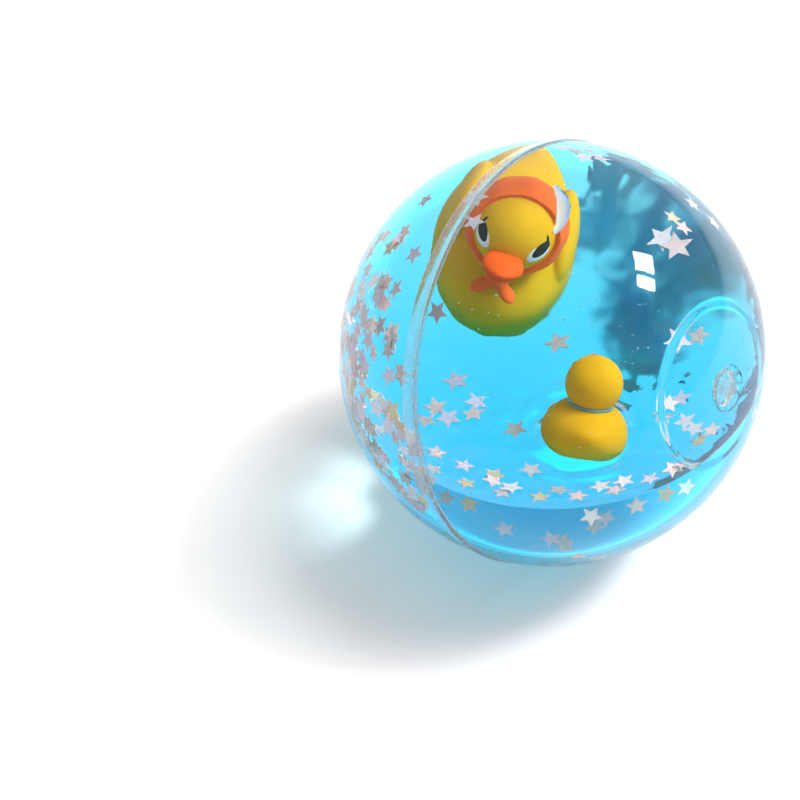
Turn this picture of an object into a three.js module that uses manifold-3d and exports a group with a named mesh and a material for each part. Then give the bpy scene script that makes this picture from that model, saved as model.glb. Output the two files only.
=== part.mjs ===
import * as THREE from 'three';
import { mergeVertices } from 'three/addons/utils/BufferGeometryUtils.js';
import Module from 'manifold-3d';

const wasm = await Module();
wasm.setup();

// A clear toy ball with two ducks afloat between blue water and clear oil.
// Millimetres and degrees. The origin is the ball's centre, +Z is up and -Y faces the viewer.

// Shell
const ballDiameter = 65;
const wallThickness = 2.2;
const poleAzimuth = -33.2;
const poleElevation = 19.7;
const turnSteps = 36;
const arcSteps = 9;

// Seam between the two halves
const lipThickness = 0.55;
const lipLength = 1.1;
const seamClearance = 0.2;
const beadWidth = 2.8;
const beadDepth = 0.8;
const beadProud = 0.25;

// Filler hole, its pad inside the wall and the plug
const padAngle = 22.3;
const padThickness = 0.45;
const shankDiameter = 4.6;
const plugHeadDiameter = 6.4;
const plugHeadDepth = 0.9;
const plugClearance = 0.2;

// Liquids
const fillLevel = 1.4;
const wallFilm = 0.9;
const surfaceFilm = 0.8;
const turnClearance = 0.5;
const wellSteps = 8;
const bubbleWidth = 10;
const bubbleDepth = 2.2;

// Star glitter
const starDiameter = 3.1;
const starWaist = 0.45;
const starThickness = 0.12;
const rimGap = 2.4;
const floatRingCount = 14;
const rowPitch = 3.8;
const floatInnerCount = 9;
const floatStart = 165;
const floatSweep = 150;
const floatInnerSweep = 92;
const clusterPitch = 2.3;
const clusters = [
  { name: 'star_left', azimuth: 186, elevation: 12, count: 9 },
  { name: 'star_low', azimuth: 280, elevation: -34, count: 5 },
  { name: 'star_high', azimuth: 20, elevation: 40, count: 2 },
];
const goldenAngle = 137.508;

// Mother duck; the head's place forward is a share of the body's length
const mother = {
  bearing: 111,
  offWall: 16.6,
  yaw: -106,
  lean: -10,
  pitch: -5,
  bodyLength: 18.6,
  bodyWidth: 13.8,
  backHeight: 5.4,
  draft: 4,
  tailRise: 4.4,
  wingProud: 0.9,
  headDiameter: 10.2,
  headForward: 0.177,
  headRise: 9.3,
};
const scarfGap = 0.25;
const scarfThickness = 0.5;
const faceHalfAngle = 66;
const faceTilt = 28;
const knotDiameter = 2.6;
const tailLength = 3.4;
const tailWidth = 2;
const tailThickness = 1.1;

// Duckling, in the same terms
const duckling = {
  bearing: -74.5,
  offWall: 14.8,
  yaw: 92,
  lean: 12,
  pitch: 14,
  bodyLength: 11.4,
  bodyWidth: 10.4,
  backHeight: 4.2,
  draft: 2.6,
  tailRise: 1.8,
  headDiameter: 6.9,
  headForward: 0.13,
  headRise: 6.2,
};
const collarThickness = 0.4;
const collarHeight = 0.5;
const collarGap = 0.2;

// Faces and hem, as shares of the head's diameter
const scarfHem = 0.314;
const beakLength = 0.3;
const beakWidth = 0.48;
const beakHeight = 0.18;
const beakGap = 0.25;
const eyeAzimuth = 45;
const eyeElevation = 14;
const eyeSlant = 36;
const eyeLong = 0.3;
const eyeShort = 0.15;
const eyeWhiteRim = 0.08;
const eyeWhiteShift = 0.04;
const eyeGap = 0.15;
const printThickness = 0.3;

const outerRadius = ballDiameter / 2;
const innerRadius = outerRadius - wallThickness;
const liquidRadius = innerRadius - wallFilm;
const starLayer = innerRadius - wallFilm / 2 - starThickness / 2;

const rad = THREE.MathUtils.degToRad;
const root = new THREE.Group();
root.name = 'toy_ball';

// Turn a closed three.js geometry into a solid, dropping empty triangles and facing it outwards.
function solid(geometry) {
  const bare = geometry.clone();
  bare.deleteAttribute('normal');
  bare.deleteAttribute('uv');
  const merged = mergeVertices(bare, 1e-4);
  const points = merged.getAttribute('position').array;
  const index = merged.getIndex().array;
  const corner = (i) => new THREE.Vector3().fromArray(points, 3 * i);
  const faces = [];
  let volume = 0;
  for (let i = 0; i < index.length; i += 3) {
    const [a, b, c] = [index[i], index[i + 1], index[i + 2]];
    if (a !== b && b !== c && c !== a) {
      faces.push(a, b, c);
      volume += corner(a).dot(corner(b).cross(corner(c)));
    }
  }
  const outward = volume > 0 ? faces : faces.reverse();
  const vertProperties = new Float32Array(points);
  return new wasm.Manifold(
    new wasm.Mesh({ numProp: 3, vertProperties, triVerts: new Uint32Array(outward) }),
  );
}

// Hand a solid to the part as a named mesh with its own material.
function piece(name, body, color, roughness = 0.4, opacity = 1) {
  const data = body.getMesh();
  const geometry = new THREE.BufferGeometry();
  geometry.setAttribute('position', new THREE.BufferAttribute(new Float32Array(data.vertProperties), 3));
  geometry.setIndex(new THREE.BufferAttribute(new Uint32Array(data.triVerts), 1));
  geometry.computeVertexNormals();
  const material = new THREE.MeshStandardMaterial({
    color,
    roughness,
    metalness: 0,
    opacity,
    transparent: opacity < 1,
  });
  const mesh = new THREE.Mesh(geometry, material);
  mesh.name = name;
  root.add(mesh);
}

// A closed profile of [radius, height] points turned about Z.
function turned(profile, steps = turnSteps) {
  const points = profile.map(([r, z]) => new THREE.Vector2(Math.max(r, 0), z));
  return new THREE.LatheGeometry([...points, points[0]], steps).rotateX(Math.PI / 2);
}

// Points of a circle about the origin, from one angle off the pole to another.
function arc(radius, from, to, steps) {
  const points = [];
  for (let i = 0; i <= steps; i += 1) {
    const angle = rad(from + ((to - from) * i) / steps);
    points.push([radius * Math.sin(angle), radius * Math.cos(angle)]);
  }
  return points;
}

// Angle off the pole at which a circle of this radius crosses a height.
function angleAtHeight(radius, height) {
  return THREE.MathUtils.radToDeg(Math.acos(height / radius));
}

// Angle off the pole at which a circle of this radius is so wide.
function angleAtWidth(radius, width) {
  return THREE.MathUtils.radToDeg(Math.asin(width / radius));
}

// The shell turns about the pole axis, which leans away from level.
const poleAxis = new THREE.Vector3(1, 0, 0)
  .applyAxisAngle(new THREE.Vector3(0, 1, 0), rad(-poleElevation))
  .applyAxisAngle(new THREE.Vector3(0, 0, 1), rad(poleAzimuth));
const toPole = new THREE.Matrix4().makeRotationFromQuaternion(
  new THREE.Quaternion().setFromUnitVectors(new THREE.Vector3(0, 0, 1), poleAxis),
);
const shellPiece = (profile) => solid(turned(profile).applyMatrix4(toPole));

// Seam: the plain half carries a lip that registers inside the filler half, under a weld bead.
const grooveRadius = outerRadius - beadDepth;
const halfGap = seamClearance / 2;
const lipRadius = innerRadius + lipThickness;
const rebateRadius = lipRadius + seamClearance;
const rebateDepth = lipLength + seamClearance;
const beadEdge = beadWidth / 2;
const outerRim = angleAtHeight(outerRadius, beadEdge);

const flip = (points) => points.map(([r, z]) => [r, -z]);
const plainProfile = flip([
  ...arc(outerRadius, 0, outerRim, arcSteps),
  [grooveRadius, beadEdge],
  [grooveRadius, halfGap],
  [lipRadius, halfGap],
  [lipRadius, -lipLength],
  [innerRadius - 0.02, -lipLength],
  ...arc(innerRadius, 90, 0, arcSteps),
]);
piece('shell_half_plain', shellPiece(plainProfile), '#dff3f8', 0.05, 0.3);

const shankHole = shankDiameter / 2 + plugClearance;
const headHole = plugHeadDiameter / 2 + plugClearance;
const padRadius = innerRadius - padThickness;
const headSeat = Math.sqrt(outerRadius ** 2 - headHole ** 2) - plugHeadDepth;
const fillerProfile = [
  ...arc(outerRadius, angleAtWidth(outerRadius, headHole), outerRim, arcSteps),
  [grooveRadius, beadEdge],
  [grooveRadius, halfGap],
  [rebateRadius, halfGap],
  [rebateRadius, rebateDepth],
  ...arc(innerRadius, angleAtHeight(innerRadius, rebateDepth), padAngle, arcSteps - 2),
  ...arc(padRadius, padAngle, angleAtWidth(padRadius, shankHole), 3),
  [shankHole, headSeat],
  [headHole, headSeat],
];
piece('shell_half_filler', shellPiece(fillerProfile), '#dff3f8', 0.05, 0.3);

// The weld bead is a flat-bottomed ring with a crowned top.
const beadHalf = beadEdge - seamClearance;
const beadFloor = grooveRadius + seamClearance;
const beadShoulder = outerRadius - beadProud;
const beadProfile = [
  [beadFloor, -beadHalf],
  [beadFloor, beadHalf],
  [beadShoulder, beadHalf],
  [outerRadius + beadProud * 0.7, beadHalf * 0.6],
  [outerRadius + beadProud, 0],
  [outerRadius + beadProud * 0.7, -beadHalf * 0.6],
  [beadShoulder, -beadHalf],
];
piece('seam_bead', shellPiece(beadProfile), '#c9dde2', 0.25, 0.5);

// The plug is a mushroom: its head sits in the counterbore and its shank fills the hole.
const plugTop = Math.sqrt(outerRadius ** 2 - headHole ** 2);
const plugProfile = [
  [0, padRadius],
  [shankDiameter / 2 - 0.3, padRadius],
  [shankDiameter / 2, padRadius + 0.4],
  [shankDiameter / 2, headSeat + plugClearance],
  [plugHeadDiameter / 2, headSeat + plugClearance],
  [plugHeadDiameter / 2, plugTop - 0.2],
  [plugHeadDiameter / 2 - 0.5, plugTop],
  [0, plugTop],
];
piece('filler_plug', shellPiece(plugProfile), '#bcd3d6', 0.3, 0.7);

// Ducks. Each is shaped with its beak along +X and its waterline at zero height.
const unitSphere = (columns, rows) => new THREE.SphereGeometry(1, columns, rows).rotateX(Math.PI / 2);

// An egg with a flat keel, a narrowing stern and a tail that turns up.
function duckBody(d) {
  const geometry = unitSphere(20, 12);
  const p = geometry.getAttribute('position');
  const v = new THREE.Vector3();
  for (let i = 0; i < p.count; i += 1) {
    v.fromBufferAttribute(p, i);
    const aft = Math.max(0, -v.x);
    const x = (v.x * d.bodyLength) / 2;
    const y = ((v.y * d.bodyWidth) / 2) * (1 - 0.2 * aft ** 3);
    const rise = v.z > 0 ? v.z * d.backHeight : v.z * d.draft * 1.6;
    const z = Math.max(rise, -d.draft) + d.tailRise * aft ** 4;
    p.setXYZ(i, x, y, z);
  }
  return solid(geometry);
}

const ellipsoid = (size, at, columns = 14, rows = 10) =>
  solid(unitSphere(columns, rows).scale(...size).translate(...at));

// A folded wing stands a little out of each flank, with its tip turned in.
function wing(d, side) {
  const half = [d.bodyLength * 0.36, d.bodyWidth * 0.11, d.backHeight * 0.6];
  const flank = d.bodyWidth * 0.44 - half[1] + d.wingProud;
  const geometry = unitSphere(12, 8).scale(...half).rotateY(rad(18)).rotateZ(rad(10 * side));
  geometry.translate(-d.bodyLength * 0.14, side * flank, d.backHeight * 0.5);
  return solid(geometry);
}

const headCentre = (d) => new THREE.Vector3(d.headForward * d.bodyLength, 0, d.headRise);

function duckFigure(d) {
  const r = d.headDiameter / 2;
  const neckAt = [headCentre(d).x * 0.8, 0, d.headRise - r * 1.05];
  const neck = ellipsoid([r * 0.74, r * 0.74, r * 0.55], neckAt);
  const head = ellipsoid([r, r, r], headCentre(d).toArray(), 18, 12);
  const figure = duckBody(d).add(neck).add(head);
  return d.wingProud ? figure.add(wing(d, 1)).add(wing(d, -1)) : figure;
}

// A bill of two flattened lobes, hollowed at the back to sit on the head.
function duckBeak(d, headRadius) {
  const size = d.headDiameter;
  const c = headCentre(d);
  const reach = headRadius + (beakLength * size) / 2;
  const half = [beakLength * size * 0.75, (beakWidth * size) / 2, (beakHeight * size) / 2];
  const upper = ellipsoid(half, [c.x + reach * 0.97, 0, c.z - size * 0.01], 14, 8);
  const lower = ellipsoid(
    [half[0] * 0.85, half[1] * 0.75, half[2] * 0.8],
    [c.x + reach * 0.93, 0, c.z - size * 0.1],
    14,
    8,
  );
  return upper.add(lower).subtract(ellipsoid([1, 1, 1].fill(headRadius + beakGap), c.toArray(), 18, 12));
}

// An oval prism that stands on the head in a given direction.
function ovalPrism(d, azimuth, slant, long, short, shift) {
  const r = d.headDiameter / 2;
  const oval = new THREE.Shape().absellipse(0, shift, long / 2, short / 2, 0, Math.PI * 2);
  const prism = new THREE.ExtrudeGeometry(oval, { depth: r, bevelEnabled: false, curveSegments: 6 });
  prism.translate(0, 0, r * 0.5);
  prism.rotateZ(rad(slant)).rotateX(Math.PI / 2).rotateZ(Math.PI / 2);
  prism.rotateY(rad(-eyeElevation)).rotateZ(rad(azimuth)).translate(...headCentre(d).toArray());
  return solid(prism);
}

// The thin skin of a prism that follows the head, as a print does.
function headPrint(d, prism) {
  const inner = d.headDiameter / 2 + eyeGap;
  const outer = inner + printThickness;
  const ball = (r) => ellipsoid([r, r, r], headCentre(d).toArray(), 24, 16);
  return prism.intersect(ball(outer)).subtract(ball(inner));
}

// A duck floats on its bearing from the middle, so far off the wall.
function place(d) {
  const out = liquidRadius - d.offWall;
  return [out * Math.cos(rad(d.bearing)), out * Math.sin(rad(d.bearing))];
}

// Turn a duck to its heading, lean it as it floats and set it on the water.
function afloat(d, body) {
  const pose = new THREE.Matrix4()
    .makeTranslation(...place(d), fillLevel)
    .multiply(new THREE.Matrix4().makeRotationZ(rad(d.yaw)))
    .multiply(new THREE.Matrix4().makeRotationY(rad(d.pitch)))
    .multiply(new THREE.Matrix4().makeRotationX(rad(d.lean)));
  return body.transform(pose.elements);
}

// Everything of one duck, kept together so that its room in the liquids can be measured.
const crews = { mother: [], duckling: [] };
function crew(name, d, part, body, color, roughness) {
  const set = afloat(d, body);
  crews[name].push(set);
  piece(`${name}_${part}`, set, color, roughness);
}

function addFace(name, d, white) {
  const r = d.headDiameter / 2;
  crew(name, d, 'beak', duckBeak(d, r), '#f27a35', 0.4);
  for (const [label, side] of [['left', 1], ['right', -1]]) {
    const long = eyeLong * d.headDiameter;
    const short = eyeShort * d.headDiameter;
    const spot = (grow, shift) =>
      ovalPrism(d, side * eyeAzimuth, side * eyeSlant, long + grow, short + grow, shift);
    crew(name, d, `eye_${label}`, headPrint(d, spot(0, 0)), '#2a3030', 0.25);
    if (white) {
      const rim = spot(eyeWhiteRim * d.headDiameter, -eyeWhiteShift * d.headDiameter);
      const crescent = rim.subtract(spot(2 * eyeGap, 0));
      crew(name, d, `eye_white_${label}`, headPrint(d, crescent), '#eef1ec', 0.3);
    }
  }
}

crew('mother', mother, 'body', duckFigure(mother), '#e3b52f', 0.45);
addFace('mother', mother, true);

// The headscarf is a shell over the head, open round the face and hemmed at the neck.
const headRadius = mother.headDiameter / 2;
const motherHead = headCentre(mother);
const scarfInner = headRadius + scarfGap;
const scarfOuter = scarfInner + scarfThickness;
const shellOf = (r) => ellipsoid([r, r, r], motherHead.toArray(), 20, 14);
const block = (size) => new THREE.BoxGeometry(size, size, size);
const big = mother.headDiameter * 2;
const faceOpening = block(big).translate(big / 2 + scarfOuter * Math.cos(rad(faceHalfAngle)), 0, 0);
faceOpening.rotateY(rad(-faceTilt)).translate(...motherHead.toArray());
const belowHem = block(big).translate(motherHead.x, 0, motherHead.z - scarfHem * mother.headDiameter - big / 2);
const hood = shellOf(scarfOuter).subtract(shellOf(scarfInner));
const scarf = hood.subtract(solid(faceOpening)).subtract(solid(belowHem));
crew('mother', mother, 'headscarf', scarf, '#fb8148', 0.45);

// The knot under the chin, with two tails on the breast.
const knotAt = [motherHead.x + headRadius * 0.98, 0, motherHead.z - headRadius * 0.78];
function scarfTail(side) {
  const half = [tailLength / 2, tailWidth / 2, tailThickness / 2];
  const tail = unitSphere(10, 6).scale(...half).translate(tailLength * 0.42, 0, 0);
  tail.rotateY(rad(22)).rotateZ(rad(58 * side));
  return solid(tail.translate(...knotAt));
}
const knotHalf = [knotDiameter * 0.42, knotDiameter / 2, knotDiameter * 0.36];
const knot = ellipsoid(knotHalf, knotAt, 10, 8).add(scarfTail(1)).add(scarfTail(-1));
crew('mother', mother, 'scarf_knot', knot.subtract(shellOf(scarfInner)), '#ee6f3c', 0.45);

// A narrow collar lies in a groove under the duckling's head.
const collarRadius = (duckling.headDiameter / 2) * 0.95;
const collarBase = duckling.headRise - duckling.headDiameter * 0.4;
function collarRing(grow) {
  const [inside, outside] = [collarRadius - grow, collarRadius + collarThickness + grow];
  const [low, high] = [collarBase - grow, collarBase + collarHeight + grow];
  const ring = turned([[inside, low], [outside, low], [outside, high], [inside, high]], 24);
  return solid(ring.translate(headCentre(duckling).x * 0.8, 0, 0));
}
const ducklingFigure = duckFigure(duckling).subtract(collarRing(collarGap));
crew('duckling', duckling, 'body', ducklingFigure, '#eab917', 0.45);
addFace('duckling', duckling, false);
crew('duckling', duckling, 'collar', collarRing(0), '#6fa9ad', 0.4);

// Room in which a duck can turn right round: the widest reach of its edges at a height.
function reach(name, d, height) {
  const [x, y] = place(d);
  let widest = 0;
  for (const body of crews[name]) {
    const { vertProperties: v, triVerts: t } = body.getMesh();
    for (let i = 0; i < t.length; i += 1) {
      const a = 3 * t[i];
      const b = 3 * t[i % 3 === 2 ? i - 2 : i + 1];
      const share = (height - v[a + 2]) / (v[b + 2] - v[a + 2]);
      if (share >= 0 && share <= 1) {
        const across = v[a] + share * (v[b] - v[a]) - x;
        const along = v[a + 1] + share * (v[b + 1] - v[a + 1]) - y;
        widest = Math.max(widest, Math.hypot(across, along));
      }
    }
  }
  return widest;
}

function heights(name) {
  const boxes = crews[name].map((body) => body.boundingBox());
  return [Math.min(...boxes.map((b) => b.min[2])), Math.max(...boxes.map((b) => b.max[2]))];
}

// A round well that follows the duck's reach from keel to crown.
function well(name, d) {
  const [low, high] = heights(name);
  const pitch = (high - low) / wellSteps;
  const profile = [[0, low - turnClearance]];
  for (let i = 0; i <= wellSteps; i += 1) {
    const height = low + pitch * i;
    const widest = Math.max(...[-0.5, 0, 0.5].map((k) => reach(name, d, height + k * pitch)));
    const end = Math.sign(i - wellSteps / 2) * turnClearance;
    profile.push([widest + turnClearance, i % wellSteps ? height : height + end]);
  }
  profile.push([0, high + turnClearance]);
  return solid(turned(profile, 24).translate(...place(d), 0));
}

// The liquids fill the ball to a thin film at the wall, in which some of the stars lie.
const waterTop = fillLevel - surfaceFilm / 2;
const oilFloor = fillLevel + surfaceFilm / 2;
const waterArc = arc(liquidRadius, 180, angleAtHeight(liquidRadius, waterTop), arcSteps);
const oilArc = arc(liquidRadius, angleAtHeight(liquidRadius, oilFloor), 0, arcSteps);
const wells = well('mother', mother).add(well('duckling', duckling));
const water = solid(turned([...waterArc, [0, waterTop]])).subtract(wells);
piece('blue_water', water, '#35c6ee', 0.05, 0.4);

// A flat bubble of air is left at the top of the oil.
const bubbleRadius = (bubbleWidth ** 2 / 4 + bubbleDepth ** 2) / (2 * bubbleDepth);
const bubbleAt = [0, 0, liquidRadius - bubbleDepth + bubbleRadius];
const bubble = ellipsoid([bubbleRadius, bubbleRadius, bubbleRadius], bubbleAt, 20, 14);
const oil = solid(turned([[0, oilFloor], ...oilArc])).subtract(wells).subtract(bubble);
piece('clear_oil', oil, '#e8f6f8', 0.05, 0.2);

// Star glitter: a five-pointed plate.
function star(spin) {
  const shape = new THREE.Shape();
  for (let i = 0; i < 10; i += 1) {
    const r = (starDiameter / 2) * (i % 2 ? starWaist : 1);
    const angle = rad(36 * i + spin);
    const move = i ? 'lineTo' : 'moveTo';
    shape[move](r * Math.cos(angle), r * Math.sin(angle));
  }
  const plate = new THREE.ExtrudeGeometry(shape, { depth: starThickness, bevelEnabled: false });
  return plate.translate(0, 0, -starThickness / 2);
}

const label = (i) => String(i + 1).padStart(2, '0');
const starColors = ['#c9bfcf', '#b9b7a6', '#d8d3dc'];

// Stars afloat between the liquids, in two rows along the near and left rim.
const rimRadius = Math.sqrt(liquidRadius ** 2 - fillLevel ** 2) - rimGap;
function floatStars(prefix, radius, count, sweep, first) {
  for (let i = 0; i < count; i += 1) {
    const angle = rad(floatStart + (sweep * (i + 0.5)) / count);
    const plate = star(goldenAngle * (i + first));
    plate.translate(radius * Math.cos(angle), radius * Math.sin(angle), fillLevel);
    piece(`${prefix}_${label(i)}`, solid(plate), starColors[i % 3], 0.3);
  }
}
floatStars('star_rim', rimRadius, floatRingCount, floatSweep, 0);
floatStars('star_inner', rimRadius - rowPitch, floatInnerCount, floatInnerSweep, 5);

// Stars that cling to the wall, in sunflower clusters about a direction.
for (const cluster of clusters) {
  for (let i = 0; i < cluster.count; i += 1) {
    const off = (clusterPitch * Math.sqrt(i + 0.5)) / starLayer;
    const plate = star(goldenAngle * i * 1.7).translate(0, 0, starLayer);
    plate.rotateY(off).rotateZ(rad(goldenAngle * i));
    plate.rotateY(rad(90 - cluster.elevation)).rotateZ(rad(cluster.azimuth));
    piece(`${cluster.name}_${label(i)}`, solid(plate), starColors[(i + 1) % 3], 0.3);
  }
}

export default root;
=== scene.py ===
# %% [markdown]
# # A clear toy ball with two ducks afloat
# The ball is a hard, clear shell, welded from two halves and filled through a plugged hole.
# Inside, clear oil lies on blue water, and two vinyl ducks and a drift of star glitter float
# where the liquids meet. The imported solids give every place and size; this lesson dresses them.

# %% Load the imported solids
import math
import random

import bmesh
import bpy
from mathutils import Matrix, Vector, noise
from mathutils.bvhtree import BVHTree


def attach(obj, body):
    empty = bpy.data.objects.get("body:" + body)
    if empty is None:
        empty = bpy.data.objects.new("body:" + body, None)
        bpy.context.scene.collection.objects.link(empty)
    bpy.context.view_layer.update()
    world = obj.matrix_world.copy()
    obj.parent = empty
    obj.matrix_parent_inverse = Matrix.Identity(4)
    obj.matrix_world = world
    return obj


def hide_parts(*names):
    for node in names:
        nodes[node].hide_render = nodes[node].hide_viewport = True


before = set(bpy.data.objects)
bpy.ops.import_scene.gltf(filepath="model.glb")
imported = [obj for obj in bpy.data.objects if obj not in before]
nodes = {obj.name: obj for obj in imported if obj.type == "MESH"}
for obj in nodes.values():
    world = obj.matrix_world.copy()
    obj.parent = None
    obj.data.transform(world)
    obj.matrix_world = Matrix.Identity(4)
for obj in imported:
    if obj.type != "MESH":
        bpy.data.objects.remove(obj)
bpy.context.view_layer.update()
scene = bpy.context.scene
MM = 0.001

# %% [markdown]
# ## Sizes that everything shares
# The ball stands on the floor with its centre at the origin. The shell's own axis runs through
# the filler plug and leans away from level, so turned pieces of the shell are made about Z and
# then tipped over by one matrix.

# %% Shared sizes
BALL_RADIUS = 32.5 * MM
INNER_RADIUS = 30.3 * MM
WATER_LEVEL = 1.4 * MM
POLE_ELEVATION = 19.7
POLE_AZIMUTH = -33.2


def rotated(degrees, axis, size=3):
    return Matrix.Rotation(math.radians(degrees), size, axis)


pole = Vector((1, 0, 0))
pole.rotate(rotated(-POLE_ELEVATION, "Y"))
pole.rotate(rotated(POLE_AZIMUTH, "Z"))
shell_axis = pole.to_track_quat("Z", "Y").to_matrix().to_4x4()
print("filler plug points along", [round(c, 3) for c in pole])

# %% [markdown]
# ## Helpers for meshes
# Most clear pieces are surfaces of revolution. A profile of (radius, height) points is swept
# round Z in fine steps: a Screw modifier would do it too, but building the rings by hand keeps
# the poles closed with single points, which matters for glass.

# %% Turned pieces
TURN_STEPS = 192
ON_AXIS = 1e-7


def add_object(name, mesh, finish):
    thing = bpy.data.objects.new(name, mesh)
    scene.collection.objects.link(thing)
    for coat in finish if isinstance(finish, (list, tuple)) else [finish]:
        mesh.materials.append(coat)
    return thing


def raw_mesh(bm, name):
    mesh = bpy.data.meshes.new(name)
    bm.to_mesh(mesh)
    bm.free()
    return mesh


def smooth_mesh(bm, name, sharp=None):
    """Faces outward, shaded smooth, with edges above an angle kept sharp."""
    bmesh.ops.recalc_face_normals(bm, faces=bm.faces)
    mesh = raw_mesh(bm, name)
    mesh.shade_smooth()
    if sharp:
        mesh.set_sharp_from_angle(angle=math.radians(sharp))
    return mesh


def full_turn(steps):
    return [2 * math.pi * i / steps for i in range(steps)]


def ring_of(bm, radius, height):
    """A ring of points about Z, or a single point on the axis."""
    turns = full_turn(TURN_STEPS) if radius > ON_AXIS else [0]
    return [bm.verts.new((radius * math.cos(a), radius * math.sin(a), height)) for a in turns]


def turned_mesh(name, profile, sharp):
    bm = bmesh.new()
    rings = [ring_of(bm, *point) for point in profile]
    for low, high in zip(rings, rings[1:]):
        for i in range(TURN_STEPS):
            j = (i + 1) % TURN_STEPS
            below, above = [[ring[k % len(ring)] for k in (i, j)] for ring in (low, high)]
            face = list(dict.fromkeys(below + above[::-1]))
            if len(face) > 2:
                bm.faces.new(face)
    return smooth_mesh(bm, name, sharp)


def arc(radius, start, end, steps):
    angles = [math.radians(start + (end - start) * i / steps) for i in range(steps + 1)]
    return [(radius * math.sin(a), radius * math.cos(a)) for a in angles]


print("round pieces are turned in", TURN_STEPS, "steps")

# %% [markdown]
# ## Clear finishes
# The shell is hard, clear plastic, and the liquids are clear too. A plain glass material would
# leave the ducks in the dark, so a Light Path switch lets lamps and bounced light straight
# through; a shade there says which colour of a lamp's light gets on. Cycles bends light at each
# surface as if air were outside. Where two clear bodies touch, they overlap by a hair: the ray
# enters one before it leaves the other, and the two bends add up to the true one. Inner surfaces
# get a black specular tint, because almost nothing reflects where shell and liquids meet.

# %% Helpers for nodes
NOISE_SPAN = (0.35, 0.65)


def new_finish(name):
    coat = bpy.data.materials.new(name)
    coat.use_nodes = True
    tree = coat.node_tree
    return coat, tree, tree.nodes["Principled BSDF"], tree.nodes["Material Output"]


def set_values(node, values):
    for name, value in values.items():
        node.inputs[name].default_value = value


def add_node(tree, kind, values=None):
    node = tree.nodes.new("ShaderNode" + kind)
    set_values(node, values or {})
    return node


def noise_on(tree, scale, detail):
    place = add_node(tree, "TexCoord")
    grain = add_node(tree, "TexNoise", {"Scale": scale, "Detail": detail})
    tree.links.new(place.outputs["Object"], grain.inputs["Vector"])
    return grain.outputs["Fac"]


def noise_bump(tree, body, scale, strength, distance):
    grain = noise_on(tree, scale, 3)
    bump = add_node(tree, "Bump", {"Strength": strength, "Distance": distance})
    tree.links.new(grain, bump.inputs["Height"])
    tree.links.new(bump.outputs["Normal"], body.inputs["Normal"])
    return grain


def map_range(tree, source, near, far, low, high):
    ramp = add_node(tree, "MapRange", {"From Min": near, "From Max": far,
                                       "To Min": low, "To Max": high})
    tree.links.new(source, ramp.inputs["Value"])
    return ramp.outputs["Result"]


def ranged(tree, source, low, high, socket):
    """Let the useful middle of a noise run a socket from low to high."""
    tree.links.new(map_range(tree, source, *NOISE_SPAN, low, high), socket)


def away_from(tree, middle, near, far, low, high):
    """A value that runs from low to high between two distances from a point."""
    place = add_node(tree, "TexCoord")
    away = add_node(tree, "VectorMath")
    away.operation = "DISTANCE"
    away.inputs[1].default_value = middle
    tree.links.new(place.outputs["Object"], away.inputs[0])
    return map_range(tree, away.outputs["Value"], near, far, low, high)


def mix_by(tree, share, shader, other):
    mixed = add_node(tree, "MixShader")
    tree.links.new(share, mixed.inputs["Fac"])
    tree.links.new(shader, mixed.inputs[1])
    tree.links.new(other, mixed.inputs[2])
    return mixed.outputs["Shader"]


print("noise runs a socket between", *NOISE_SPAN)

# %% Kinds of clear finish
LET_THROUGH = ("Is Shadow Ray", "Is Diffuse Ray")
CLEAR = (1, 1, 1)
SHELL_IOR = 1.5


def clear_finish(name, tint, ior, rough=0.0, mirror=0.5, clear=1.0, shade=CLEAR):
    coat, tree, body, out = new_finish(name)
    set_values(body, {"Base Color": (*tint, 1), "Roughness": rough, "IOR": ior,
                      "Transmission Weight": clear, "Specular Tint": (mirror, mirror, mirror, 1)})
    path = add_node(tree, "LightPath")
    shader = body.outputs["BSDF"]
    for kind in LET_THROUGH:
        color = (*(shade if kind == "Is Shadow Ray" else CLEAR), 1)
        passing = add_node(tree, "BsdfTransparent", {"Color": color})
        shader = mix_by(tree, path.outputs[kind], shader, passing.outputs["BSDF"])
    tree.links.new(shader, out.inputs["Surface"])
    return coat, tree, body, out


def grained(name, tint, grain, rough, **more):
    """A clear finish with a fine bump (scale, strength, distance) and uneven gloss."""
    coat, tree, body, out = clear_finish(name, tint, SHELL_IOR, **more)
    speckle = noise_bump(tree, body, *grain)
    ranged(tree, speckle, *rough, body.inputs["Roughness"])
    return coat


def dyed(name, ior, color, density, tint=CLEAR, **more):
    """A clear finish with a dye that deepens along the way through."""
    made = clear_finish(name, tint, ior, **more)
    coat, tree, body, out = made
    absorb = add_node(tree, "VolumeAbsorption", {"Color": (*color, 1), "Density": density})
    tree.links.new(absorb.outputs["Volume"], out.inputs["Volume"])
    return made


print("rays that pass clear bodies:", *LET_THROUGH)

# %% Shell finishes
SHELL_GRAIN = (900, 0.02, 0.00002)
SHELL_ROUGH = (0.0, 0.012)
LOWER_SHADE = (0.5, 0.2, 0.19)
shell_coat = grained("clear_shell", CLEAR, SHELL_GRAIN, SHELL_ROUGH)
lower_coat = grained("clear_shell_below", CLEAR, SHELL_GRAIN, SHELL_ROUGH, shade=LOWER_SHADE)
wall_coat = clear_finish("shell_inside", CLEAR, SHELL_IOR, mirror=0)[0]
print("shell finishes:", shell_coat.name, lower_coat.name, wall_coat.name)

# %% [markdown]
# ## Oil and water finishes
# The colour comes from Volume Absorption, not from the surface, so a longer way through the
# liquid is bluer, as in the real ball. The oil has a breath of blue as well. Where glitter has
# churned the two together, a patch of the water's surface is a little rough: the distance from
# the middle of the patch sets the roughness. It softens the drift of stars on the wall behind.

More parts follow.
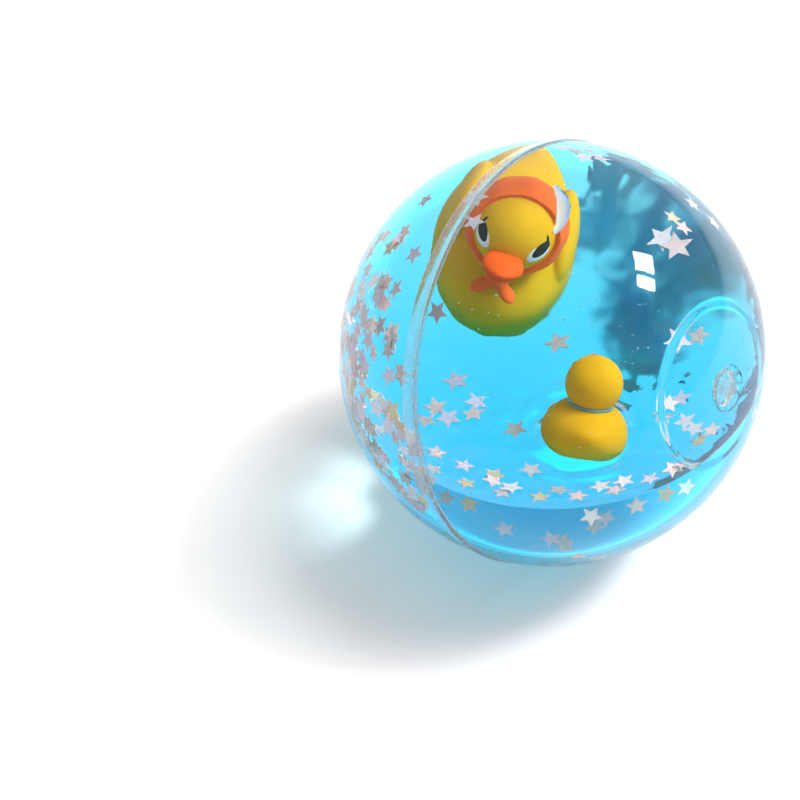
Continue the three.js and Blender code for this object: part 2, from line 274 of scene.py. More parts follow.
# %% Oil and water finishes
OIL_IOR = 1.46
OIL_DYE = (0.3, 0.86, 0.97)
OIL_STRENGTH = 8
FILM_TINT_AND_PAINTED_SHINE = (0.95, 0.98, 1)
oil_coat = dyed("clear_oil_finish", OIL_IOR, OIL_DYE, OIL_STRENGTH, mirror=0)[0]
# The film lets only part of the light through and is nearly white elsewhere: a painted reflection
# of the bright light an air film sends back, on top of its real mirror.
bubble_coat = dyed("oil_at_bubble", OIL_IOR, OIL_DYE, OIL_STRENGTH, FILM_TINT_AND_PAINTED_SHINE,
                   rough=0.15, mirror=1, clear=0.6)[0]
WATER_IOR = 1.333
WATER_DYE = (0.02, 0.86, 0.975)
WATER_STRENGTH = 92
WATER_SHADE = (1.0, 0.86, 0.84)
water_coat, tree, body, out = dyed("blue_water_finish", WATER_IOR, WATER_DYE, WATER_STRENGTH,
                                   mirror=0, shade=WATER_SHADE)
CHURNED_AT = (9.5 * MM, 8 * MM, WATER_LEVEL)
CHURNED_NEAR, CHURNED_FAR = 9 * MM, 15 * MM
CHURNED_ROUGH = 0.21
churned = away_from(tree, CHURNED_AT, CHURNED_NEAR, CHURNED_FAR, CHURNED_ROUGH, 0)
tree.links.new(churned, body.inputs["Roughness"])
print("liquid finishes:", oil_coat.name, bubble_coat.name, water_coat.name)

# %% [markdown]
# ## The two shell halves
# Each half is a bowl with a groove round its rim for the weld. A sphere with a Solidify modifier
# would give a wall too, but a turned profile has every step in it. The filler half has a thick
# pad inside its pole, seen as a fine circle, and a stepped hole for the plug. The halves reach
# a hair into each other, so the wall reads as one clear piece with only the weld showing. Inside
# faces get the finish without mirror, and outside faces below the waterline the one with a
# shade, which gives the ball its shadow on the floor.

# %% Shell halves
OVERLAP = 0.03 * MM
BEAD_EDGE = 1.4 * MM
GROOVE_RADIUS = BALL_RADIUS - 0.8 * MM
GROOVE_FLOOR = 0.35 * MM
PAD_ANGLE = 22.3
PAD_THICKNESS = 0.45 * MM
PAD_RADIUS = INNER_RADIUS - PAD_THICKNESS
PAD_ROLL = 3.0
HEAD_HOLE = 3.4 * MM
HEAD_DEPTH = 0.9 * MM
SHANK_HOLE = 2.5 * MM
SHADE_BELOW = -2 * MM


def angle_at_height(radius, height):
    return math.degrees(math.acos(height / radius))


def angle_at_width(radius, width):
    return math.degrees(math.asin(width / radius))


rim_angle = angle_at_height(BALL_RADIUS, BEAD_EDGE)
plain_profile = arc(BALL_RADIUS, 180, 180 - rim_angle, 70)
plain_profile += [(GROOVE_RADIUS, -GROOVE_FLOOR), (GROOVE_RADIUS, OVERLAP)]
plain_profile += [(INNER_RADIUS, OVERLAP), *arc(INNER_RADIUS, 90, 180, 70)[1:]]

plug_top = math.sqrt(BALL_RADIUS ** 2 - HEAD_HOLE ** 2)
head_seat = plug_top - HEAD_DEPTH
pad_steps = [1 - i / 10 for i in range(11)]
pad_roll = [(PAD_RADIUS + PAD_THICKNESS * t * t * (3 - 2 * t), PAD_ANGLE + PAD_ROLL * (t - 0.5))
            for t in pad_steps]
filler_profile = arc(BALL_RADIUS, angle_at_width(BALL_RADIUS, HEAD_HOLE), rim_angle, 64)
filler_profile += [(GROOVE_RADIUS, GROOVE_FLOOR), (GROOVE_RADIUS, 0)]
filler_profile += arc(INNER_RADIUS, 90, PAD_ANGLE + 0.6 * PAD_ROLL, 56)
filler_profile += [arc(radius, angle, angle, 1)[0] for radius, angle in pad_roll]
pad_hole = angle_at_width(PAD_RADIUS, SHANK_HOLE)
filler_profile += arc(PAD_RADIUS, PAD_ANGLE - 0.6 * PAD_ROLL, pad_hole, 14)
filler_profile += [(SHANK_HOLE, head_seat), (HEAD_HOLE, head_seat)]
filler_profile += filler_profile[:1]


def shell_piece(name, profile, finish, node, sharp=25):
    mesh = turned_mesh(name, profile, sharp)
    mesh.transform(shell_axis)
    thing = add_object(name, mesh, finish)
    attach(thing, "shell")
    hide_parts(node)
    return thing


def mark_inside(thing):
    for face in thing.data.polygons:
        inside = face.center.dot(face.normal) < 0
        face.material_index = 1 if inside else 2 if face.center.z < SHADE_BELOW else 0


for name, profile, node in (("plain_half", plain_profile, "shell_half_plain"),
                            ("filler_half", filler_profile, "shell_half_filler")):
    half = shell_piece(name, profile, [shell_coat, wall_coat, lower_coat], node)
    mark_inside(half)
    print(name, len(half.data.polygons), "faces")

# %% [markdown]
# ## The weld bead and the plug
# The weld is a low, crowned ring, a little cloudy. A torus would show the same crown, but would
# not fill the groove. The plug is pressed in and sealed with a drop of cement, so its head is
# uneven and frosted. Both are pushed a hair into the shell round them, and noise moves their
# outer points in and out a little, because a perfect ring would look drawn.

# %% Weld bead
bead_coat = grained("weld_bead", (0.82, 0.93, 0.96), (900, 0.1, 0.0001), (0.05, 0.3), clear=0.9)
BEAD_PROUD = 0.25 * MM
BEAD_GRAIN, BEAD_UNEVEN = 1.3 * MM, 0.06 * MM


def roughen(thing, size, amount, beyond):
    for vert in thing.data.vertices:
        reach = vert.co.length
        if reach > beyond:
            vert.co *= 1 + amount * noise.noise(vert.co / size) / reach
    thing.data.update()


bead_floor = GROOVE_RADIUS - OVERLAP
bead_half = BEAD_EDGE + OVERLAP
bead_foot = GROOVE_FLOOR + OVERLAP
crown_steps = [-1 + i / 6 for i in range(13)]
crown = [(BALL_RADIUS + BEAD_PROUD * (1 - t * t), bead_half * 0.96 * t) for t in crown_steps]
bead_profile = [(bead_floor, -bead_foot), (BALL_RADIUS - OVERLAP, -bead_half), *crown,
                (BALL_RADIUS - OVERLAP, bead_half), (bead_floor, bead_foot)]
bead_profile += bead_profile[:1]
bead = shell_piece("weld_ring", bead_profile, bead_coat, "seam_bead", 50)
roughen(bead, BEAD_GRAIN, BEAD_UNEVEN, BALL_RADIUS - 0.05 * MM)
print("weld:", len(bead.data.polygons), "faces")

# %% Plug
plug_coat = grained("frosted_plug", (0.58, 0.72, 0.75), (1100, 0.6, 0.0002), (0.12, 0.5),
                    clear=0.8)
plug_edge_coat = grained("clear_plug_edge", (0.93, 0.97, 0.98), (1100, 0.1, 0.0001), (0.02, 0.12))
CEMENT_RADIUS = 1.7 * MM
CEMENT_FOOT, CEMENT_DOME = 0.1 * MM, 0.22 * MM
CEMENT_GRAIN, CEMENT_UNEVEN = 1.1 * MM, 0.25 * MM
SHANK_CHAMFER = 0.4 * MM
head_rim = HEAD_HOLE + OVERLAP
shank = SHANK_HOLE + OVERLAP
dome_turns = [math.radians(a) for a in range(0, 91, 10)]
dome = [(head_rim * math.cos(a), plug_top - CEMENT_FOOT + CEMENT_DOME * math.sin(a))
        for a in dome_turns]
plug_profile = [(0, PAD_RADIUS), (shank * 0.85, PAD_RADIUS), (shank, PAD_RADIUS + SHANK_CHAMFER),
                (shank, head_seat - OVERLAP), (head_rim, head_seat - OVERLAP), *dome]
plug = shell_piece("cemented_plug", plug_profile, plug_coat, "filler_plug", 40)
roughen(plug, CEMENT_GRAIN, CEMENT_UNEVEN, plug_top - 0.3 * MM)
plug.data.materials.append(plug_edge_coat)
for face in plug.data.polygons:
    off_axis = (face.center - pole * face.center.dot(pole)).length
    on_head = face.center.length > head_seat - 2 * OVERLAP
    face.material_index = int(off_axis > CEMENT_RADIUS and on_head)
print("plug:", len(plug.data.polygons), "faces")

# %% [markdown]
# ## Where the ducks float
# Each duck sits at a bearing and a distance from the wall, turned and tipped as it drifts. The
# sizes stand in one table for each duck, because the water needs them too: it rises round the
# place where a duck floats. All lengths in the tables are in millimetres.

# %% Duck sizes and places
MOTHER = dict(bearing=111, off_wall=16.6, yaw=-106, lean=-10, pitch=-5,
              length=18.6, width=13.8, back=5.4, draft=4, tail=4.4, wing=0.4,
              head=10.2, forward=0.177, rise=9.3, ripple=0.1)
DUCKLING = dict(bearing=-74.5, off_wall=14.8, yaw=92, lean=12, pitch=14,
                length=11.4, width=10.4, back=4.2, draft=1.7, tail=1.8, wing=None,
                head=6.9, forward=0.13, rise=6.2, ripple=0.24)
LIQUID_RADIUS = 29.4 * MM


def float_place(duck):
    out = LIQUID_RADIUS - duck["off_wall"] * MM
    angle = math.radians(duck["bearing"])
    return Vector((out * math.cos(angle), out * math.sin(angle), WATER_LEVEL))


def float_matrix(duck):
    turn = rotated(duck["yaw"], "Z", 4) @ rotated(duck["pitch"], "Y", 4)
    return Matrix.Translation(float_place(duck)) @ turn @ rotated(duck["lean"], "X", 4)


for duck in (MOTHER, DUCKLING):
    print("a duck floats at", [round(c / MM, 1) for c in float_place(duck)])

# %% [markdown]
# ## The two liquids
# Water and oil are two clear bodies that share one surface. It climbs a little at the wall and
# round each duck, with rings that die away, and carries a faint swell. A flat disc with a bump
# would be quicker, but has no edge to see from the side. Both bodies take the surface from one
# function, the water a hair above and the oil a hair below, so they overlap everywhere but at the
# rim. A thin, bent film of air, left when the ball is filled, dents the oil's top.

# %% The surface between the liquids
WALL_CLIMB, WALL_REACH = 0.05 * MM, 1.5 * MM
DUCK_CLIMB, DUCK_REACH = 0.55 * MM, 0.9 * MM
DUCK_EDGE = 0.92
RING_SPAN, RING_REACH = 0.45 * MM, 2.4 * MM
SWELL = ((0.1 * MM, 7 * MM), (0.26 * MM, 2.2 * MM))
CALM_RIM = 4 * MM
CALM_LEAST, CALM_MIDDLE, CALM_SPAN = 0.6, 0.8, 10 * MM


def surface_lift(x, y):
    out = math.hypot(x, y)
    lift = WALL_CLIMB * math.exp(-max(0, INNER_RADIUS - out) / WALL_REACH)
    for duck in (MOTHER, DUCKLING):
        near = float_matrix(duck).inverted() @ Vector((x, y, WATER_LEVEL))
        ring = math.hypot(near.x / (duck["length"] / 2), near.y / (duck["width"] / 2)) / MM
        gap = max(0, ring - DUCK_EDGE) * duck["width"] / 2 * MM
        lift += DUCK_CLIMB * math.exp(-gap / DUCK_REACH)
        lift += duck["ripple"] * MM * math.cos(gap / RING_SPAN) * math.exp(-gap / RING_REACH)
    calm = min(1, max(0, INNER_RADIUS - out) / CALM_RIM)
    calm *= min(1, max(CALM_LEAST, CALM_MIDDLE + y / CALM_SPAN))
    swell = sum(height * noise.noise(Vector((x, y, 0)) / span) for height, span in SWELL)
    return lift + calm * swell


print("water climbs", round(surface_lift(INNER_RADIUS, 0) / MM, 2), "mm at the wall")

# %% The film of air
FILM_AT = (1.7 * MM, -0.3 * MM)
FILM_HALF = (0.9 * MM, 4.6 * MM)
FILM_BEND = 0.06 / MM
FILM_DEPTH = 0.5 * MM
FILM_WANDER, FILM_GRAIN = 0.12, 25


def film_depth(at):
    """How far the air film at the top pushes the oil away from the wall."""
    if at.z < INNER_RADIUS / 2:
        return 0
    along = at.y - FILM_AT[1]
    across = at.x - FILM_AT[0] + FILM_BEND * along ** 2
    out = math.hypot(across / FILM_HALF[0], along / FILM_HALF[1])
    out += FILM_WANDER * noise.noise(at.normalized() * FILM_GRAIN)
    return FILM_DEPTH * math.sqrt(max(0, 1 - out * out))


print("air film:", [round(2 * half / MM, 1) for half in FILM_HALF], "mm")

# %% Liquid bodies
SURFACE_RINGS = 90
RIM_FADE = 2 * MM
FILM_CAP = 12


def liquid_mesh(name, water):
    radius = INNER_RADIUS + OVERLAP
    raise_by = OVERLAP if water else -OVERLAP
    bm = bmesh.new()
    edge = angle_at_height(radius, WATER_LEVEL + surface_lift(INNER_RADIUS, 0) * 0.95)
    if water:
        cap = arc(radius, edge, 180, 80)
    else:
        cap = arc(radius, edge, FILM_CAP, 60)[:-1] + arc(radius, FILM_CAP, 0, 80)
    rows = [ring_of(bm, *point) for point in cap[:-1]]
    rim = rows[0][0].co.xy.length
    for r in range(1, SURFACE_RINGS):
        row = ring_of(bm, rim * (1 - r / SURFACE_RINGS), 0)
        for vert in row:
            apart = raise_by * min(1, (rim - vert.co.xy.length) / RIM_FADE)
            vert.co.z = WATER_LEVEL + surface_lift(vert.co.x, vert.co.y) + apart
        rows.insert(0, row)
    middle = bm.verts.new((0, 0, WATER_LEVEL + surface_lift(0, 0) + raise_by))
    end = bm.verts.new((0, 0, -radius if water else radius))
    for low, high in zip(rows, rows[1:]):
        for i in range(TURN_STEPS):
            bm.faces.new((low[i], low[i - 1], high[i - 1], high[i]))
    for tip, row in ((middle, rows[0]), (end, rows[-1])):
        for i in range(TURN_STEPS):
            bm.faces.new((tip, row[i - 1], row[i]))
    if not water:
        for vert in bm.verts:
            vert.co *= 1 - film_depth(vert.co) / vert.co.length
    return smooth_mesh(bm, name, 30)


for name, coat, node in (("water_body", water_coat, "blue_water"),
                         ("oil_body", oil_coat, "clear_oil")):
    liquid = add_object(name, liquid_mesh(name, node == "blue_water"), coat)
    if node == "clear_oil":
        liquid.data.materials.append(bubble_coat)
        for face in liquid.data.polygons:
            face.material_index = int(film_depth(face.center) > 0)
    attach(liquid, "liquid")
    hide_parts(node)
    print(name, len(liquid.data.polygons), "faces")

# %% [markdown]
# ## Vinyl and paint
# The ducks are moulded vinyl with painted scarf, beak and eyes. Soft vinyl is a little mottled,
# so the colour drifts by noise and a fine bump breaks the gloss. Subsurface scattering would be
# nearer the truth, but behind shell and oil it costs much and shows little. In oil a surface
# hardly shines, so the specular level is kept low.

# %% Vinyl and paint
DEEP_STOP, PALE_STOP = 0.3, 0.7
VINYL_GRAIN = (2600, 0.12, 0.00006)
VINYL_CLOUD = 260
UNEVEN_GLOSS = 0.08
SHINE_IN_OIL = 0.06


def colored_by(tree, source, stops, body, mode="LINEAR"):
    """Let a value pick the base colour from stops of (position, colour)."""
    shades = add_node(tree, "ValToRGB")
    ramp = shades.color_ramp
    ramp.interpolation = mode
    while len(ramp.elements) < len(stops):
        ramp.elements.new(0.5)
    for i, (position, color) in enumerate(stops):
        ramp.elements[i].position = position
        ramp.elements[i].color = (*color, 1)
    tree.links.new(source, shades.inputs["Fac"])
    tree.links.new(shades.outputs["Color"], body.inputs["Base Color"])


def vinyl(name, color, deep, rough=0.5):
    coat, tree, body, out = new_finish(name)
    grain = noise_bump(tree, body, *VINYL_GRAIN)
    cloud = noise_on(tree, VINYL_CLOUD, 4)
    colored_by(tree, cloud, [(DEEP_STOP, deep), (PALE_STOP, color)], body)
    gloss = (rough - UNEVEN_GLOSS, rough + UNEVEN_GLOSS)
    ranged(tree, grain, *gloss, body.inputs["Roughness"])
    set_values(body, {"Specular IOR Level": SHINE_IN_OIL})
    return coat


mother_vinyl = vinyl("mother_vinyl", (0.8, 0.44, 0.011), (0.73, 0.385, 0.009))
duckling_vinyl = vinyl("duckling_vinyl", (0.74, 0.385, 0.003), (0.67, 0.335, 0.002))
scarf_paint = vinyl("scarf_paint", (0.92, 0.16, 0.026), (0.87, 0.138, 0.021))
beak_paint = vinyl("beak_paint", (0.9, 0.12, 0.012), (0.84, 0.1, 0.008))
collar_paint = vinyl("collar_paint", (0.16, 0.4, 0.44), (0.12, 0.33, 0.37))
eye_paint = vinyl("eye_black_paint", (0.018, 0.026, 0.026), (0.012, 0.018, 0.018), rough=0.3)
eye_white_paint = vinyl("eye_white_paint", (0.86, 0.87, 0.84), (0.8, 0.82, 0.8), rough=0.35)
print("paints:", *[coat.name for coat in (mother_vinyl, duckling_vinyl, scarf_paint, beak_paint)])

# %% [markdown]
# ## Ducks
# A moulded duck has no hard edges: breast, wings, tail and head run into each other. Smooth
# eggs are laid into one mesh, and a voxel Remesh with a Smooth modifier melts them together,
# as clay is smoothed before the mould is cut. The waterline is at zero height while a duck is
# shaped; the float matrix then sets it on the water.

# %% Sculpting helpers
def egg(bm, size, at, turn=None, bend=None, columns=48, rows=32):
    ball = bmesh.ops.create_uvsphere(bm, u_segments=columns, v_segments=rows, radius=1)
    for vert in ball["verts"]:
        if bend:
            vert.co = bend(vert.co)
        vert.co = Vector(c * s for c, s in zip(vert.co, size))
        if turn:
            vert.co = turn @ vert.co
        vert.co += Vector(at)


def set_afloat(mesh, duck):
    """From millimetres about a duck's own waterline to its place on the water."""
    mesh.transform(Matrix.Scale(MM, 4))
    mesh.transform(float_matrix(duck))


def melted(name, bm, voxel, rounds, duck, finish):
    clay = bpy.data.objects.new(name + "_clay", raw_mesh(bm, name + "_clay"))
    scene.collection.objects.link(clay)
    remesh = clay.modifiers.new("melt", "REMESH")
    remesh.mode = "VOXEL"
    remesh.voxel_size = voxel
    smooth = clay.modifiers.new("smooth", "SMOOTH")
    smooth.factor = 0.5
    smooth.iterations = rounds
    graph = bpy.context.evaluated_depsgraph_get()
    done = bpy.data.meshes.new_from_object(clay.evaluated_get(graph))
    done.name = name
    bpy.data.objects.remove(clay)
    set_afloat(done, duck)
    done.shade_smooth()
    done.materials.clear()
    return add_object(name, done, finish)


def on_duck(thing, whose, node):
    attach(thing, whose)
    if node:
        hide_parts(node)
    print(thing.name, len(thing.data.polygons), "faces")


# %% Duck bodies
TAIL_TAPER = 0.2
KEEL = 1.6
WING_HALF = (0.27, 0.11, 0.55)
WING_AFT, WING_OUT, WING_UP = 0.1, 0.44, 0.5
WING_TOE_IN, WING_DIP = 10, 8
NECK_HALF = (0.74, 0.74, 0.55)
NECK_FORWARD, NECK_DOWN = 0.8, 1.05
BODY_VOXEL = 0.009


def keel_bend(duck):
    def bend(unit):
        aft = max(0, -unit.x)
        x = unit.x * duck["length"] / 2
        y = unit.y * duck["width"] / 2 * (1 - TAIL_TAPER * aft ** 3)
        rise = unit.z * duck["back"] if unit.z > 0 else unit.z * duck["draft"] * KEEL
        return Vector((x, y, max(rise, -duck["draft"]) + duck["tail"] * aft ** 4))
    return bend


def head_centre(duck):
    return Vector((duck["forward"] * duck["length"], 0, duck["rise"]))


def duck_body(name, duck, finish):
    bm = bmesh.new()
    radius = duck["head"] / 2
    head = head_centre(duck)
    egg(bm, (1, 1, 1), (0, 0, 0), bend=keel_bend(duck), columns=64, rows=48)
    half = [duck[size] * share for size, share in zip(("length", "width", "back"), WING_HALF)]
    for side in (1, -1) if duck["wing"] else ():
        flank = duck["width"] * WING_OUT - half[1] + duck["wing"]
        turn = rotated(WING_TOE_IN * side, "Z") @ rotated(WING_DIP, "Y")
        egg(bm, half, (-duck["length"] * WING_AFT, side * flank, duck["back"] * WING_UP), turn)
    neck = (head.x * NECK_FORWARD, 0, head.z - radius * NECK_DOWN)
    egg(bm, [radius * share for share in NECK_HALF], neck)
    egg(bm, (radius, radius, radius), head)
    return melted(name, bm, duck["length"] * BODY_VOXEL, 8, duck, finish)


mother = duck_body("mother_figure", MOTHER, mother_vinyl)
on_duck(mother, "mother_duck", "mother_body")
duckling = duck_body("duckling_figure", DUCKLING, duckling_vinyl)
on_duck(duckling, "duckling", "duckling_body")

# %% [markdown]
# ## Beaks
# Each beak is two flat lobes, the upper one longer and turned up a little at its tip, so a
# shadow line is left between them for the mouth. One lobe with a painted line would be simpler,
# but from the side it would look shut.

# %% Beaks
BEAK_HALF = (0.225, 0.24, 0.09)
BEAK_OUT = 0.15
UPPER_OUT, UPPER_DROP = 0.95, 0.005
LOWER_OUT, LOWER_DROP = 0.9, 0.105
LOWER_LOBE = (0.84, 0.75, 0.75)
BEAK_VOXEL = 0.011


def turned_up(unit):
    tip = max(0, unit.x)
    return Vector((unit.x, unit.y * (1 - 0.25 * tip ** 2), unit.z + 0.5 * tip ** 3))


def duck_beak(name, duck):
    bm = bmesh.new()
    size = duck["head"]
    head = head_centre(duck)
    reach = size / 2 + BEAK_OUT * size
    half = Vector(BEAK_HALF) * size
    lower = [h * share for h, share in zip(half, LOWER_LOBE)]
    egg(bm, half, (head.x + reach * UPPER_OUT, 0, head.z - UPPER_DROP * size), bend=turned_up)
    egg(bm, lower, (head.x + reach * LOWER_OUT, 0, head.z - LOWER_DROP * size))
    return melted(name, bm, size * BEAK_VOXEL, 3, duck, beak_paint)


on_duck(duck_beak("mother_bill", MOTHER), "mother_duck", "mother_beak")
on_duck(duck_beak("duckling_bill", DUCKLING), "duckling", "duckling_beak")

# %% [markdown]
# ## Headscarf and knot
# The scarf is a painted skin over the head, open in a circle round the face. Painting the head
# would be simpler, but the real scarf stands proud. It is drawn as an inner and an outer skin, in
# rings about the face's axis, joined at the rim; the remesh rounds every edge. A knot with two
# tails lies on the breast.

# %% Headscarf
FACE_HALF_ANGLE = 65
FACE_TILT = 28
SCARF_HEM = 0.314
SCARF_SKINS = (-0.15, 0.62)
SCARF_BACK = 176
FOLDS, FOLD_DEPTH = 9, 0.06


def scarf_clay():
    bm = bmesh.new()
    radius = MOTHER["head"] / 2
    head = head_centre(MOTHER)
    tilt = rotated(-FACE_TILT, "Y")
    rings, steps = 40, 96
    skins = []
    for lift in SCARF_SKINS:
        skin = []
        for r in range(rings + 1):
            polar = math.radians(FACE_HALF_ANGLE + (SCARF_BACK - FACE_HALF_ANGLE) * r / rings)
            out = math.sin(polar)
            row = []
            for spin in full_turn(steps):
                fold = FOLD_DEPTH * math.cos(FOLDS * spin) * out * (lift > 0)
                point = Vector((math.cos(polar), out * math.sin(spin), out * math.cos(spin)))
                point = tilt @ point * (radius + lift + fold)
                point.z = max(point.z, -SCARF_HEM * MOTHER["head"] - 0.2 * (lift < 0))
                row.append(bm.verts.new(point + head))
            skin.append(row)
        skins.append(skin)
    inner, outer = skins
    for skin, way in ((inner, -1), (outer, 1)):
        for a, b in zip(skin, skin[1:]):
            for i in range(steps):
                bm.faces.new((a[i - 1], a[i], b[i], b[i - 1])[::way])
        bm.faces.new(skin[-1][::way])
    for i in range(steps):
        bm.faces.new((inner[0][i - 1], inner[0][i], outer[0][i], outer[0][i - 1]))
    bmesh.ops.recalc_face_normals(bm, faces=bm.faces)
    return bm


scarf = melted("scarf_hood", scarf_clay(), 0.11, 4, MOTHER, scarf_paint)
on_duck(scarf, "mother_duck", "mother_headscarf")

# %% Knot
KNOT_HALF = (1.1, 1.3, 0.95)
TAIL_HALF = (1.7, 1.05, 0.55)
TAIL_OUT = 1.43
TAIL_SPREAD, TAIL_DROP = 58, 22


def widening(unit):
    return Vector((unit.x, unit.y * (0.75 + 0.35 * unit.x), unit.z))


def knot_clay():
    bm = bmesh.new()
    radius = MOTHER["head"] / 2
    knot = head_centre(MOTHER) + Vector((radius * 0.98, 0, -radius * 0.78))
    egg(bm, KNOT_HALF, knot)
    for side in (1, -1):
        turn = rotated(TAIL_SPREAD * side, "Z") @ rotated(TAIL_DROP, "Y")
        egg(bm, TAIL_HALF, knot + turn @ Vector((TAIL_OUT, 0, 0)), turn, widening)
    return bm


knot = melted("scarf_bow", knot_clay(), 0.09, 4, MOTHER, scarf_paint)
on_duck(knot, "mother_duck", "mother_scarf_knot")

# %% [markdown]
# ## Eyes
# Eyes are tampo printed: a black oval with a white crescent under it and one lash. Each is a
# thin lens that follows the head's curve. A painted texture would do, but a lens stays crisp
# close up and hardly stands out.

# %% Printed eyes
EYE_AZIMUTH = 45
EYE_ELEVATION = 14
EYE_SLANT = 36
EYE_LONG, EYE_SHORT = 0.3, 0.165
EYE_LIFT, WHITE_LIFT, LASH_LIFT = 0.16, 0.1, 0.12
LASH_LONG, LASH_SHORT, LASH_TURN = 0.12, 0.035, 50
PRINT_SUNK = -0.1
PRINT_FEATHER = 0.02


def spun(across, up, angle):
    cos, sin = math.cos(angle), math.sin(angle)
    return across * cos - up * sin, across * sin + up * cos


def eye_print(name, duck, side, long, short, shift, height, finish, turn=0):
    rings, steps = 10, 40
    radius = duck["head"] / 2
    aim = rotated(side * EYE_AZIMUTH, "Z") @ rotated(-EYE_ELEVATION, "Y")
    slant = math.radians(side * EYE_SLANT)
    bm = bmesh.new()

    def point(across, up, lift):
        along, over = spun(*(Vector((across, up)) - Vector(shift)), turn)
        y, z = spun(along + shift[0], over + shift[1], slant)
        ray = Vector((radius, y, z)).normalized()
        return head_centre(duck) + aim @ (ray * (radius + lift))

    def oval(share, lift):
        return [bm.verts.new(point(shift[0] + share * long / 2 * math.cos(a),
                                   shift[1] + share * short / 2 * math.sin(a), lift))
                for a in full_turn(steps)]

    layers = []
    for top in (True, False):
        layer = [[bm.verts.new(point(*shift, height if top else PRINT_SUNK))] * steps]
        for r in range(1, rings + 1):
            share = r / rings
            lift = height * (1 - share ** 4) if top else PRINT_SUNK
            layer.append(oval(share, lift - PRINT_FEATHER * share))
        layers.append(layer)
    over, under = layers
    for layer, way in ((over, 1), (under, -1)):
        for a, b in zip(layer, layer[1:]):
            for i in range(steps):
                bm.faces.new(list(dict.fromkeys((a[i - 1], b[i - 1], b[i], a[i])))[::way])
    for i in range(steps):
        bm.faces.new((over[-1][i - 1], under[-1][i - 1], under[-1][i], over[-1][i]))
    mesh = smooth_mesh(bm, name)
    set_afloat(mesh, duck)
    return add_object(name, mesh, finish)


# %% Eyes of both ducks
for label, side in (("left", 1), ("right", -1)):
    for who, rides, duck in (("mother", "mother_duck", MOTHER),
                             ("duckling", "duckling", DUCKLING)):
        size = duck["head"]
        long, short = EYE_LONG * size, EYE_SHORT * size
        black = eye_print(f"{who}_{label}_eye", duck, side, long, short,
                          (0, 0), EYE_LIFT, eye_paint)
        on_duck(black, rides, f"{who}_eye_{label}")
        if who == "mother":
            below = (-side * 0.045 * size, -0.024 * size)
            rim = eye_print(f"{who}_{label}_eye_rim", duck, side, long * 1.06, short * 1.35,
                            below, WHITE_LIFT, eye_white_paint)
            on_duck(rim, rides, f"{who}_eye_white_{label}")
            corner = (side * 0.155 * size, 0.045 * size)
            lash = eye_print(f"{who}_{label}_lash", duck, side, LASH_LONG * size,
                             LASH_SHORT * size, corner, LASH_LIFT, eye_paint,
                             side * math.radians(LASH_TURN))
            on_duck(lash, rides, None)

# %% [markdown]
# ## The duckling's collar
# A thin painted line runs in the crease under the duckling's head. A plain torus would leave
# the crease, so it is found by feeling the moulding from outside: at each bearing, rays aimed
# at the neck are cast at many heights, and the one that gets in deepest marks the crease. A
# small round section is swept along those points.

# %% Collar
NECK_LINE_RADIUS = 0.24
FIRST_HEIGHT, HEIGHT_STEP, HEIGHTS = 0.22, 0.012, 30
EVEN_ROUNDS = 4


def crease_points(figure, duck, steps):
    skin = BVHTree.FromObject(figure, bpy.context.evaluated_depsgraph_get())
    place = float_matrix(duck)
    head = head_centre(duck)
    found = []
    for turn in full_turn(steps):
        out = Vector((math.cos(turn), math.sin(turn), 0))
        deepest = None
        for k in range(HEIGHTS):
            drop = duck["head"] * (FIRST_HEIGHT + HEIGHT_STEP * k)
            axis = Vector((head.x * 0.9, 0, head.z - drop))
            start = place @ ((axis + out * duck["length"]) * MM)
            hit = skin.ray_cast(start, (place.to_3x3() @ -out).normalized())[3]
            if hit and (deepest is None or hit > deepest[0]):
                skin_at = duck["length"] - hit / MM
                deepest = (hit, axis + out * (skin_at + NECK_LINE_RADIUS * 0.4))
        found.append(deepest[1])
    for _ in range(EVEN_ROUNDS):
        found = [(found[i - 1] + found[i] * 2 + found[(i + 1) % steps]) / 4 for i in range(steps)]
    return found


def neck_ring_mesh(name, middle_points, sides=12):
    bm = bmesh.new()
    centre = sum(middle_points, Vector()) / len(middle_points)
    rows = []
    for point in middle_points:
        out = (point - centre).normalized()
        section = [out * math.cos(a) + Vector((0, 0, math.sin(a))) for a in full_turn(sides)]
        rows.append([bm.verts.new(point + NECK_LINE_RADIUS * off) for off in section])
    for a, b in zip(rows, rows[1:] + rows[:1]):
        for k in range(sides):
            bm.faces.new((a[k - 1], b[k - 1], b[k], a[k]))
    mesh = smooth_mesh(bm, name)
    set_afloat(mesh, DUCKLING)
    return mesh


crease = crease_points(duckling, DUCKLING, 72)
neck_ring = neck_ring_mesh("duckling_neck_ring", crease)
collar = add_object("duckling_neck_ring", neck_ring, collar_paint)
on_duck(collar, "duckling", "duckling_collar")

# %% [markdown]
# ## Star glitter
# The glitter is punched from metallised film: greys, with pink, lilac and gold where the film's
# layers split the light. The solids carry a sample of the stars, which keep their own meshes and
# take a tint each from Object Info. The rest is strewn by seeded chance: drifts on the wall at
# the left and under water at the far side, single stars that cling higher up, and stars sunk
# or afloat. The left drift is painted lighter: painted light on stars whose side towards the
# camera lies in shade. A particle system would strew them too, but could not follow the drifts
# so closely.

# %% Foil finish
STAR_TINTS = [(0.56, 0.52, 0.54), (0.66, 0.58, 0.7), (0.5, 0.5, 0.52), (0.72, 0.55, 0.56),
              (0.58, 0.56, 0.72), (0.8, 0.75, 0.82), (0.58, 0.5, 0.36), (0.46, 0.47, 0.54)]
FOIL_GRAIN = (1800, 0.3, 0.0001)
FOIL_ROUGH = (0.38, 0.6)
FOIL_METAL = 0.35


